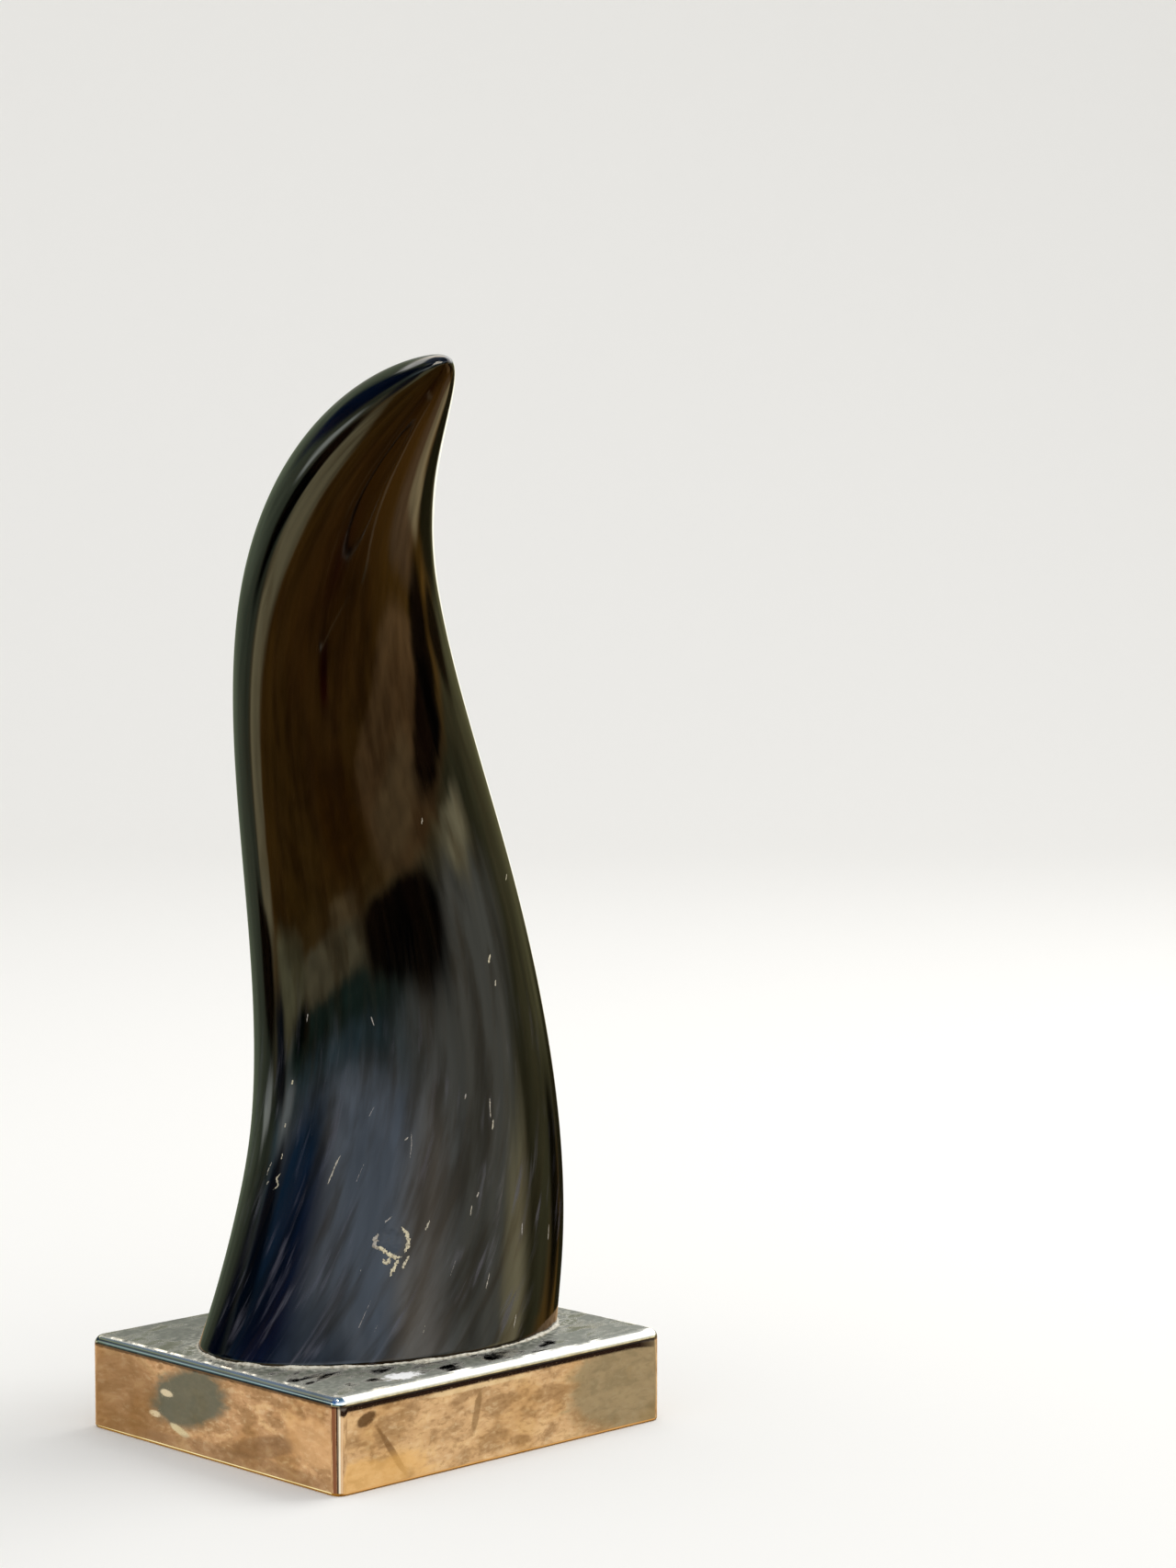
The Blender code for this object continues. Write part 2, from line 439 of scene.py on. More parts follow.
# Each layer: the value it follows, where it sets in and where it is full, its strength and
# its colour. The first one makes the left side browner than the right
LAYERS = (
    (sides.outputs["X"], -50.0 * MM, -66.0 * MM, 1.0, "cda278"),
    (blotches, 0.47, 0.60, 0.60, "9c7a54"),
    (blotches, 0.46, 0.36, 0.50, "f2cc98"),
    (specks, 0.50, 0.68, 0.45, "8e6c48"),
    (specks, 0.47, 0.34, 0.35, "f6dab0"),
)
# Every coat of paint: its share of the surface and its colour
coats = []
for value, start, end, strength, tone in LAYERS:
    inputs = {"Value": value, "From Min": start, "From Max": end, "To Max": strength}
    share = add(tree, "MapRange", inputs, interpolation_type="SMOOTHSTEP")
    coats.append((share, tone))
print("the wood has", len(LAYERS), "layers")

# %% Spots, corner stripes and rim of the painted wood
# Spots, in millimetres: the middle of each, its reach and its turn about x and y in
# degrees, its colour and its strength
SPOT_RAGGEDNESS = 0.9
SPOTS = (
    ((-73.0, 62.0, 3.0), (12.0, 24.0, 16.0), (0.0, 0.0), "8c6a46", 0.65),
    ((-73.0, 27.5, 9.0), (12.0, 18.0, 8.0), (-18.0, 0.0), "64695d", 0.9),
    ((-73.0, 37.3, 9.0), (12.0, 2.6, 1.0), (0.0, 0.0), "e8d8b8", 0.9),
    ((-73.0, 44.0, 2.0), (12.0, 2.6, 1.0), (0.0, 0.0), "e8d8b8", 0.9),
    ((-73.0, 34.0, -1.0), (12.0, 4.0, 1.2), (15.0, 0.0), "e0d2ac", 0.9),
    ((-73.0, -2.0, 1.0), (12.0, 16.0, 3.0), (-14.0, 0.0), "82644a", 0.6),
    ((-73.0, 12.0, -5.0), (12.0, 40.0, 3.0), (0.0, 0.0), "86684c", 0.5),
    ((-73.0, -24.0, 6.0), (12.0, 12.0, 7.0), (0.0, 0.0), "ecbc88", 0.5),
    ((-36.5, -66.5, 14.0), (3.0, 12.0, 1.8), (0.0, -20.0), "5e4228", 0.9),
    ((-26.0, -66.5, 3.2), (11.0, 12.0, 0.9), (0.0, 51.0), "84623e", 0.8),
    ((-36.0, -66.5, -3.0), (22.0, 12.0, 6.0), (0.0, 0.0), "f2c078", 0.6),
    ((1.0, -66.5, 16.3), (19.0, 12.0, 0.8), (0.0, 0.0), "f6dcae", 0.6),
    ((3.0, -66.5, 9.5), (1.2, 12.0, 6.0), (0.0, 4.0), "90704a", 0.7),
    ((62.0, -66.5, 8.0), (24.0, 12.0, 15.0), (0.0, 0.0), "8c8266", 0.75),
)
for middle, reach, turn, tone, strength in SPOTS:
    inputs = {
        "Vector": place,
        "Location": tuple(value * MM for value in middle),
        "Rotation": (math.radians(turn[0]), math.radians(turn[1]), 0.0),
        "Scale": tuple(value * MM for value in reach),
    }
    far = add(tree, "Mapping", inputs, vector_type="TEXTURE")
    far = add(tree, "VectorMath", {0: far}, operation="LENGTH")
    far = add(tree, "Math", {0: blotches, 1: SPOT_RAGGEDNESS, 2: far}, operation="MULTIPLY_ADD")
    inputs = {"Value": far, "From Min": 1.65, "From Max": 1.25, "To Max": strength}
    share = add(tree, "MapRange", inputs, interpolation_type="SMOOTHSTEP")
    coats.append((share, tone))
# The near corner mirrors upright stripes. Each: its middle and half width, from left to
# right across the corner, in millimetres, and its colour
STRIPES = (
    (-25.0, 8.0, "8a5a40"),
    (-15.0, 3.0, "44281c"),
    (-10.5, 2.5, "8f8a7c"),
    (-4.0, 4.5, "fff2dc"),
    (4.5, 4.5, "ecc8a0"),
)
# Only the near corner lies further out than this, measured as x plus y
NEAR_CORNER_FROM = -108.0 * MM
NEAR_CORNER_FULL = -112.0 * MM
inputs = {0: sides.outputs["X"], 1: sides.outputs["Y"]}
across_corner = add(tree, "Math", inputs, operation="SUBTRACT")
outward = add(tree, "Math", inputs, operation="ADD")
inputs = {"Value": outward, "From Min": NEAR_CORNER_FROM, "From Max": NEAR_CORNER_FULL}
at_corner = add(tree, "MapRange", inputs, interpolation_type="SMOOTHSTEP")
for middle, half, tone in STRIPES:
    off = add(tree, "Math", {0: across_corner, 1: middle * MM}, operation="SUBTRACT")
    off = add(tree, "Math", {0: off}, operation="ABSOLUTE")
    inputs = {"Value": off, "From Min": half * MM, "From Max": 0.6 * half * MM}
    share = add(tree, "MapRange", inputs, interpolation_type="SMOOTHSTEP")
    share = add(tree, "Math", {0: share, 1: at_corner}, operation="MULTIPLY")
    coats.append((share, tone))
# The rounded top edge on the right mirrors a dark line and a grey band above it. Each: the
# height where it starts, in millimetres, and its colour
RIM_BANDS = ((16.8, "2a1c16"), (18.4, "6b625a"))
RIM_BAND_BLEND = 0.5
inputs = {"Value": sides.outputs["Y"], "From Min": -60.0 * MM, "From Max": -64.0 * MM}
on_right = add(tree, "MapRange", inputs)
for level, tone in RIM_BANDS:
    inputs = {"Value": sides.outputs["Z"], "From Min": level * MM}
    inputs["From Max"] = (level + RIM_BAND_BLEND) * MM
    share = add(tree, "MapRange", inputs)
    share = add(tree, "Math", {0: share, 1: on_right}, operation="MULTIPLY")
    coats.append((share, tone))
colour = linear("dcb486")
for share, tone in coats:
    inputs = {"Factor": share, "A": colour, "B": linear(tone)}
    colour = add(tree, "Mix", inputs, data_type="RGBA")
glow = add(tree, "Emission", {"Color": colour, "Strength": 1.0})
add(tree, "OutputMaterial", {"Surface": glow})
collar.data.materials.append(painted_wood)
print("the collar has", len(coats), "coats of paint")

# %% A small bright card for the tip
# The tip mirrors the sun as one bright spot. A card close by shows only in the horn's end
TIP_AT = Vector((-55.5, -90.5, 280.0)) * MM
TIP_CARD_WAY = Vector((-0.83, 0.20, 0.58)).normalized()
TIP_CARD_AWAY = 150.0 * MM
TIP_CARD_WIDE = 120.0 * MM
TIP_CARD_HIGH = 60.0 * MM
TIP_CARD_STRENGTH = 9.0
bm = bmesh.new()
bmesh.ops.create_grid(bm, x_segments=1, y_segments=1, size=0.5)
bmesh.ops.scale(bm, vec=(TIP_CARD_WIDE, TIP_CARD_HIGH, 1.0), verts=bm.verts)
tip_card = object_from_bmesh("tip_card", bm)
tip_card.location = TIP_AT + TIP_CARD_WAY * TIP_CARD_AWAY
tip_card.rotation_euler = (-TIP_CARD_WAY).to_track_quat("-Z", "Y").to_euler()
# Far brighter than the painted sky, so that the polish shows it as a highlight
sun_spot, tree = new_material("sun spot")
glow = add(tree, "Emission", {"Color": linear("fffaf0"), "Strength": TIP_CARD_STRENGTH})
add(tree, "OutputMaterial", {"Surface": glow})
tip_card.data.materials.append(sun_spot)
only_in_gloss(tip_card)
print("the tip's card is", TIP_CARD_WIDE, "m wide")

# %% [markdown]
# ## The horn's surface
#
# A horn is keratin, the stuff of hooves and nails, grown in layers over a bony core. It
# has no corners, so its surface is a loft: oval sections strung on a smooth curve. The
# same seven sections as in the solid are used, only with many more steps between them,
# and the steps crowd together where the surface is chipped. Sculpting by hand would do as
# well, but a loft keeps the surface smooth enough for a polish to read as a polish.

# %% The horn's sections
# The middle of each section, x and y from the plinth's middle and z above its top, then
# the section's two half widths, all in millimetres
FOOT = (-0.5, -2.0, 0.0, 52.5, 36.0)
WAIST = (18.5, 8.5, 46.5, 46.0, 35.0)
BACK = (20.5, 18.5, 105.0, 40.0, 33.0)
SHOULDER = (6.0, 16.0, 158.5, 34.5, 27.0)
BEND = (-16.0, -4.5, 204.0, 27.5, 22.5)
NECK = (-37.0, -43.0, 237.0, 19.0, 16.5)
TIP = (-55.5, -90.5, 258.0, 9.0, 8.0)
STATIONS = np.array((FOOT, WAIST, BACK, SHOULDER, BEND, NECK, TIP)) * MM
SECTION_TURN = math.radians(-10.0)
FOOT_BLEND = 0.3
TIP_BLUNTNESS = 13.0
FOOT_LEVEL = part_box("horn")[0].z
# The skin lies this far inside the solid, so that its ripples don't stand proud of it
SKIN_INSET = 0.12 * MM


def natural_spline(values, t):
    """The natural cubic curve through values spaced evenly from 0 to 1, and its slope, at t."""
    count = len(values) - 1
    step = 1.0 / count
    matrix = np.eye(count + 1)
    right = np.zeros_like(values)
    for i in range(1, count):
        matrix[i, i - 1 : i + 2] = (1.0, 4.0, 1.0)
        right[i] = 6.0 * (values[i + 1] - 2.0 * values[i] + values[i - 1]) / step**2
    bend = np.linalg.solve(matrix, right)
    cell = np.clip((t / step).astype(int), 0, count - 1)
    b = (t / step - cell)[:, None]
    a = 1.0 - b
    low, high = values[cell], values[cell + 1]
    bend_low, bend_high = bend[cell], bend[cell + 1]
    at = a * low + b * high + ((a**3 - a) * bend_low + (b**3 - b) * bend_high) * step**2 / 6.0
    slope = (high - low) / step
    slope = slope + ((3 * b**2 - 1) * bend_high - (3 * a**2 - 1) * bend_low) * step / 6.0
    return at, slope


def horn_grid(steps, angles):
    """Points of the horn at each step along it, from 0 to 1, and each angle round it."""
    values, slopes = natural_spline(STATIONS, steps)
    along = slopes[:, :3] / np.linalg.norm(slopes[:, :3], axis=1)[:, None]
    blend = np.clip(steps / FOOT_BLEND, 0.0, 1.0)
    blend = (blend * blend * (3.0 - 2.0 * blend))[:, None]
    normals = (1.0 - blend) * np.array([0.0, 0.0, 1.0]) + blend * along
    normals /= np.linalg.norm(normals, axis=1)[:, None]
    taper = np.sqrt(1.0 - steps**TIP_BLUNTNESS)
    side = np.array([math.cos(SECTION_TURN), math.sin(SECTION_TURN), 0.0])
    grid = np.empty((len(steps), len(angles), 3))
    for i, normal in enumerate(normals):
        side = side - normal * (side @ normal)
        side /= np.linalg.norm(side)
        front = np.cross(normal, side)
        wide = (values[i, 3] * taper[i] - SKIN_INSET) * np.cos(angles)[:, None]
        deep = (values[i, 4] * taper[i] - SKIN_INSET) * np.sin(angles)[:, None]
        grid[i] = values[i, :3] + wide * side + deep * front
    grid[..., 2] += FOOT_LEVEL
    return grid


CROWDING_SAMPLES = 20001


def crowded(low, high, count, focus, reach, crowding):
    """Positions from low to high that lie closer together within reach of the focus."""
    fine = np.linspace(low, high, CROWDING_SAMPLES)
    weight = 1.0 + crowding * np.exp(-(((fine - focus) / reach) ** 2))
    total = np.concatenate([[0.0], np.cumsum(0.5 * (weight[1:] + weight[:-1]))])
    return np.interp(np.linspace(0.0, total[-1], count), total, fine)


# The points crowd round the chip, low on the side that faces the camera: where along the
# horn and round it, how far the crowding reaches and how strong it is
CHIP_STEP, CHIP_STEP_REACH, STEP_CROWDING = 0.075, 0.035, 2.0
CHIP_ANGLE, CHIP_ANGLE_REACH, ANGLE_CROWDING = math.radians(238.0), 0.16, 3.0
HORN_ROWS = 400
TIP_ROWS = 36
HORN_COLUMNS = 216
TIP_START = 0.9
body_steps = crowded(0.0, TIP_START, HORN_ROWS, CHIP_STEP, CHIP_STEP_REACH, STEP_CROWDING)
tip_steps = TIP_START + (1.0 - TIP_START) * np.sin(np.linspace(0.0, math.pi / 2.0, TIP_ROWS + 1))
steps = np.concatenate([body_steps[:-1], tip_steps[:-1]])
full_turn = 2.0 * math.pi
angles = crowded(0.0, full_turn, HORN_COLUMNS + 1, CHIP_ANGLE, CHIP_ANGLE_REACH, ANGLE_CROWDING)
angles = angles[:-1]
grid = horn_grid(steps, angles)
print("the horn's grid has", grid.shape[0] * grid.shape[1], "points")

# %% [markdown]
# ## Places on the surface
#
# Small damage is easiest to place in the photograph, so each mark below is given by where
# it shows there. A line from the camera through that place is followed until
# it meets the skin, and the mark is laid there, flat on the horn, so it holds from any side.

# %% From the photograph to the surface
from mathutils.bvhtree import BVHTree

PHOTO_WIDTH = 1280
PHOTO_HEIGHT = 1706
LENS_PIXELS = LENS_MM / SENSOR_MM * PHOTO_HEIGHT
camera_turn = camera.rotation_euler.to_matrix()


def sight_line(pixel):
    """The direction from the camera through a pixel of the photograph."""
    across = (pixel[0] - PHOTO_WIDTH / 2.0) / LENS_PIXELS
    down = (pixel[1] - PHOTO_HEIGHT / 2.0) / LENS_PIXELS
    return (camera_turn @ Vector((across, -down, -1.0))).normalized()


def grid_faces(rows, columns):
    i = np.arange(rows - 1)[:, None] * columns
    j = np.arange(columns)[None]
    k = (j + 1) % columns
    return np.stack([i + j, i + k, i + columns + k, i + columns + j], axis=-1).reshape(-1, 4)


smooth_skin = BVHTree.FromPolygons(
    [Vector(point) for point in grid.reshape(-1, 3)], grid_faces(*grid.shape[:2]).tolist()
)


def on_horn(pixel):
    """Where the line of sight meets the horn, and the surface's direction there."""
    spot, normal, _, _ = smooth_skin.ray_cast(CAMERA_AT, sight_line(pixel))
    return spot, normal


CHIP_PIXEL = (424, 1350)
chip_spot, _ = on_horn(CHIP_PIXEL)
gaps = np.linalg.norm(grid - np.array(chip_spot), axis=2)
row, column = np.unravel_index(gaps.argmin(), gaps.shape)
print("the chip is at step", round(steps[row], 3), "and angle", round(math.degrees(angles[column]), 1))

# %% [markdown]
# ## Ripples and the sunken chip
#
# Hand sanding leaves a horn faintly uneven: long shallow ripples that only show in how
# they bend a reflection. They are moved in the mesh, not in a bump map, so the outline
# has them too. The chip is a shallow scoop where a flake of keratin has split off.

# %% Shape the skin
HORN_LENGTH = 333.0 * MM
STRAIGHT_RADIUS = 40.0 * MM
# Ripples: size along the horn and across it, and height
RIPPLES = (
    (70.0 * MM, 24.0 * MM, 0.10 * MM),
    (26.0 * MM, 9.0 * MM, 0.022 * MM),
    (15.0 * MM, 3.5 * MM, 0.005 * MM),
)
# The ripples fade out over these shares of the horn's length, at the foot and at the tip
RIPPLE_FADE_FOOT = 0.02
RIPPLE_FADE_TIP = 0.06
SCOOP_REACH = 3.4 * MM
SCOOP_DEPTH = 0.10 * MM
SCOOP_GRAIN = 0.9 * MM
SCOOP_ROUGHNESS = 0.5
# The lowest rows, which hold all of the scoop
SCOOP_ROWS = 90
# The fibres lean to the right near the foot, and straighten by this height
FIBRE_LEAN = 0.36
FIBRE_STRAIGHT = 110.0 * MM


def straightened(steps, angles, lean):
    """The horn unrolled to an upright round bar, on which the fibres run straight up."""
    height = steps[:, None] * HORN_LENGTH
    share = np.clip(1.0 - height / FIBRE_STRAIGHT, 0.0, 1.0)
    turn = angles[None] - lean * FIBRE_STRAIGHT * (1.0 - share**2) / (2.0 * STRAIGHT_RADIUS)
    across = STRAIGHT_RADIUS * np.cos(turn)
    deep = STRAIGHT_RADIUS * np.sin(turn)
    return np.stack([across, deep, np.broadcast_to(height, across.shape)], axis=-1)


def surface_normals(grid):
    around = np.roll(grid, -1, axis=1) - np.roll(grid, 1, axis=1)
    along = np.gradient(grid, axis=0)
    normals = np.cross(around, along)
    return normals / np.linalg.norm(normals, axis=2)[..., None]


straight = straightened(steps, angles, 0.0)
fibre = straightened(steps, angles, FIBRE_LEAN)
normals = surface_normals(grid)
lift = np.zeros(grid.shape[:2])
for long_size, cross_size, height in RIPPLES:
    places = fibre / np.array([cross_size, cross_size, long_size])
    lift += height * np.array([[noise.noise(Vector(p)) for p in row] for row in places])
lift *= np.clip(steps / RIPPLE_FADE_FOOT, 0.0, 1.0)[:, None]
lift *= np.clip((1.0 - steps) / RIPPLE_FADE_TIP, 0.0, 1.0)[:, None]
from_chip = np.linalg.norm(grid - np.array(chip_spot), axis=2)
scoop = np.clip(1.0 - (from_chip / SCOOP_REACH) ** 2, 0.0, 1.0)[:SCOOP_ROWS]
grains = [[noise.noise(Vector(p) / SCOOP_GRAIN) for p in row] for row in grid[:SCOOP_ROWS]]
lift[:SCOOP_ROWS] -= scoop * SCOOP_DEPTH * (1.0 + SCOOP_ROUGHNESS * np.array(grains))
skin = grid + lift[..., None] * normals
# The lowest row reaches down to the plate, which the adhesive hides
FOOT_REACH = 0.35 * MM
skin[0, :, 2] -= FOOT_REACH
print("the ripples reach", round(1000 * float(np.abs(lift).max()), 3), "mm")

# %% Make the skin's mesh


def lay_attribute(mesh, name, values):
    layer = mesh.attributes.new(name, "FLOAT_VECTOR", "POINT")
    layer.data.foreach_set("vector", values.astype(np.float32).ravel())


def make_horn_skin():
    rows, columns = skin.shape[:2]
    last = rows * columns
    tip = natural_spline(STATIONS, np.array([1.0]))[0][0, :3]
    tip[2] += FOOT_LEVEL
    points = np.concatenate([skin.reshape(-1, 3), tip[None]])
    faces = grid_faces(rows, columns).tolist()
    rim = last - columns
    faces += [(rim + a, rim + (a + 1) % columns, last) for a in range(columns)]
    faces.append(tuple(range(columns - 1, -1, -1)))
    horn = object_from_points("horn_skin", points.tolist(), faces)
    mesh = horn.data
    top = np.array([[0.0, 0.0, HORN_LENGTH]])
    lay_attribute(mesh, "straight", np.concatenate([straight.reshape(-1, 3), top]))
    lay_attribute(mesh, "fibre", np.concatenate([fibre.reshape(-1, 3), top]))
    mesh.shade_smooth()
    return horn


horn = make_horn_skin()
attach(horn, "root")
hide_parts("horn")
# The horn is kept out of its own gloss, where the neck would mirror the dark foot
horn.visible_glossy = False
print("the horn's skin has", len(horn.data.polygons), "faces")

# %% A core for the plate to mirror
# The plate mirrors only the lowest few millimetres of the horn, so a dark core stands in
CORE_TOP_STEP = 0.022
CORE_INSET = 0.985
core_grid = horn_grid(np.linspace(0.0, CORE_TOP_STEP, 3), angles)
core_middle = core_grid.mean(axis=1)[:, None]
core_grid = core_middle + CORE_INSET * (core_grid - core_middle)
core_faces = grid_faces(*core_grid.shape[:2]).tolist()
core = object_from_points("mirror_core", core_grid.reshape(-1, 3).tolist(), core_faces)
# Dull and dark, as the foot looks in the clear gaps of the plate
dark_core, tree = new_material("dark core")
shader = add(tree, "BsdfDiffuse", {"Color": linear("1c1f24")})
add(tree, "OutputMaterial", {"Surface": shader})
core.data.materials.append(dark_core)
only_in_gloss(core)
print("the core is", round(1000 * float(np.ptp(core_grid[..., 2])), 1), "mm high")

# %% [markdown]
# ## Chips, flecks and scratches
#
# Where the gloss is broken, dry keratin shows: pale, matt and slightly torn. Each mark is
# a thin ragged sliver of mesh laid on the skin, thickest along its middle.

# %% The marks
# Each mark: its widest in millimetres, its colour from 0, violet grey, to 1, cream, and
# the places in the photograph that it runs through
MARKS = (
    (1.4, 0.4, ((411.6, 1342), (408, 1350), (407.4, 1356), (412, 1360))),
    (1.4, 1.0, ((409, 1355), (416, 1360), (424, 1365), (431, 1368), (438, 1367))),
    (1.3, 0.9, ((437, 1334.5), (442, 1341), (445, 1350.5), (444, 1357), (439, 1364))),
    (1.2, 0.9, ((417, 1369), (418.5, 1374), (423, 1373.5), (424, 1368))),
    (1.2, 1.0, ((434, 1370), (429, 1379), (424, 1389))),
    (1.0, 0.8, ((446, 1366), (441, 1373), (437, 1381))),
    (0.5, 0.3, ((427, 1323), (422.5, 1327), (418, 1331.5))),
    (0.7, 0.6, ((468.5, 1326), (465.5, 1333), (462.5, 1339.5))),
    (0.4, 0.3, ((394, 1380), (390.5, 1387))),
    (0.4, 0.5, ((370.5, 1257), (366, 1266), (361, 1278), (356.5, 1288.5))),
    (0.35, 0.3, ((447.5, 1229), (448, 1245), (446, 1264))),
    (0.45, 0.4, ((445, 1237), (440, 1241))),
    (0.6, 0.9, ((533.5, 1038), (532, 1048))),
    (0.6, 0.6, ((539.5, 1066), (539, 1073))),
    (0.5, 0.6, ((537, 1218), (536, 1229))),
    (0.3, 0.5, ((533, 1195), (534, 1216))),
    (0.4, 0.5, ((513.5, 1311), (512, 1323))),
    (0.3, 0.3, ((568.5, 1330), (568, 1344))),
    (0.4, 0.4, ((597.5, 1332), (596.5, 1349))),
    (0.5, 0.5, ((459.5, 889), (459, 898))),
    (0.5, 0.9, ((551.5, 951), (550.5, 958))),
    (0.6, 0.9, ((318.5, 1175), (318, 1180))),
    (0.7, 0.6, ((311, 1222), (310, 1227))),
    (0.6, 0.6, ((308, 1254), (306, 1262))),
    (0.7, 0.8, ((306, 1276), (301, 1282), (303, 1290), (297, 1295))),
    (0.5, 0.5, ((297, 1262), (292, 1273), (290, 1281))),
    (0.5, 0.5, ((293, 1284), (290, 1290))),
    (0.25, 0.3, ((404, 1106), (407, 1116))),
    (0.3, 0.3, ((335, 1103), (334, 1112))),
    (0.25, 0.2, ((408, 1203), (401, 1216))),
    (0.25, 0.2, ((398, 1262), (386, 1290))),
    (0.25, 0.2, ((447, 1420), (430, 1452))),
    (0.25, 0.2, ((421, 1418), (402, 1462))),
    (0.3, 0.2, ((406, 1410), (388, 1450))),
    (0.25, 0.3, ((497, 1368), (489, 1392))),
    (0.4, 0.4, ((521, 1297), (519, 1303))),
    (0.4, 0.3, ((507, 1190), (506, 1196))),
    (0.3, 0.5, ((562, 1430), (559, 1445))),
    (0.3, 0.4, ((533, 1385), (529, 1402))),
    (0.35, 0.5, ((463, 1441), (460, 1452))),
)
MARK_STEP = 0.22 * MM
# The sliver's section: shares of its half width out and of its thickness up
MARK_SECTION = ((-1.0, -0.15), (-0.6, 0.55), (-0.1, 1.0), (0.5, 0.6), (1.0, -0.15))
MARK_THICKNESS = 0.16
# The share of its width that a mark keeps at its ends, and how fast it widens from there
MARK_END = 0.25
MARK_WIDENING = 4.0
# How ragged the marks are: in width, in thickness, sideways, and from point to point
RAGGED_WIDTH, RAGGED_THICKNESS, RAGGED_DRIFT, RAGGED_POINTS = 0.8, 0.7, 0.25, 0.5


def path_through(pixels):
    """Points on the horn along the mark, evenly spaced, each with the surface's direction."""
    spots = [on_horn(pixel) for pixel in pixels]
    points = np.array([spot for spot, _ in spots])
    reach = np.concatenate([[0.0], np.cumsum(np.linalg.norm(np.diff(points, axis=0), axis=1))])
    count = max(4, int(reach[-1] / MARK_STEP) + 1)
    shares = np.linspace(0.0, reach[-1], count)
    pixels = np.array(pixels)
    between = [np.interp(shares, reach, pixels[:, k]) for k in (0, 1)]
    return [on_horn(pixel) for pixel in zip(*between)]


def make_marks():
    points, faces, tones = [], [], []
    for number, (width, tone, pixels) in enumerate(MARKS):
        path = path_through(pixels)
        count = len(path)
        start = len(points)
        for i, (spot, normal) in enumerate(path):
            ahead = path[min(i + 1, count - 1)][0] - path[max(i - 1, 0)][0]
            across = normal.cross(ahead).normalized()
            share = i / (count - 1)
            taper = min(1.0, MARK_END + MARK_WIDENING * min(share, 1.0 - share))
            # Each mark reads the noise at a place of its own
            ragged = noise.noise_vector(Vector((number * 7.3, i * 0.45, 0.0)))
            half = 0.5 * width * MM * taper * (1.0 + RAGGED_WIDTH * ragged.x)
            thick = MARK_THICKNESS * width * MM * taper * (1.0 + RAGGED_THICKNESS * ragged.y)
            drift = RAGGED_DRIFT * width * MM * ragged.z
            for out, up in MARK_SECTION:
                place = Vector((number * 3.1 + out, i * 0.9, up))
                rough = 1.0 + RAGGED_POINTS * noise.noise(place)
                sideways = across * (drift + out * half * rough)
                points.append(spot + sideways + normal * (up * thick * rough))
                tones.append((tone, 0.5 + 0.5 * ragged.x, share))
        width_count = len(MARK_SECTION)
        for i in range(count - 1):
            for j in range(width_count - 1):
                low = start + i * width_count + j
                faces.append((low, low + width_count, low + width_count + 1, low + 1))
    marks = object_from_points("horn_marks", points, faces)
    lay_attribute(marks.data, "tone", np.array(tones))
    marks.data.shade_smooth()
    return marks


marks = make_marks()
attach(marks, "root")
marks.visible_glossy = False
print("there are", len(MARKS), "marks with", len(marks.data.polygons), "faces")

# %% [markdown]
# ## Polished horn
#
# Keratin, sanded down and buffed on a wheel. It is nearly black, with brown fibres that
# run lengthwise just under the surface, and near the foot with greyer ones that lean. The
# gloss is the wheel's, so it isn't perfect: fine lengthwise ridges break up what it
# reflects. Keratin's index of refraction is about 1.55.
#
# The fibres could be drawn in the object's own coordinates, but they follow the horn's
# bend, so the patterns use the unrolled coordinates that were laid on the mesh.

# %% Patterns of the keratin
KERATIN_IOR = 1.55
# Each pattern: which coordinates it follows, how wide and how long its blobs are in
# millimetres, how fine its detail is, and a start that sets it apart from the others
KERATIN_PATTERNS = {
    "streaks": ("fibre", 2.6, 40.0, 5.0, 0.0),
    "brown patches": ("straight", 16.0, 60.0, 3.0, 3.0),
    "scuffed fibres": ("fibre", 2.0, 18.0, 3.0, 5.0),
    "scuffed areas": ("fibre", 13.0, 30.0, 2.0, 7.0),
    "lustre": ("fibre", 5.0, 32.0, 5.0, 9.0),
    "ridges": ("fibre", 2.2, 34.0, 3.0, 11.0),
    "fine ridges": ("fibre", 0.5, 9.0, 2.0, 13.0),
}
# Buffed smooth over a nearly black body, so that the eye sees little but the reflection
buffed_horn, tree = new_material("buffed black keratin")
patterns = {}
for name, (follows, across_mm, along_mm, detail, start) in KERATIN_PATTERNS.items():
    where = add(tree, "Attribute", attribute_name=follows).outputs["Vector"]
    inputs = {
        "Vector": where,
        "Location": (start * across_mm * MM, 0.0, 0.0),
        "Scale": (across_mm * MM, across_mm * MM, along_mm * MM),
    }
    sized = add(tree, "Mapping", inputs, vector_type="TEXTURE")
    inputs = {"Vector": sized, "Scale": 1.0, "Detail": detail, "Distortion": 0.15}
    patterns[name] = add(tree, "TexNoise", inputs)
print("the keratin has", len(patterns), "patterns")

# %% Polished keratin
where = add(tree, "Attribute", attribute_name="straight").outputs["Vector"]
height = add(tree, "SeparateXYZ", {"Vector": where}).outputs["Z"]
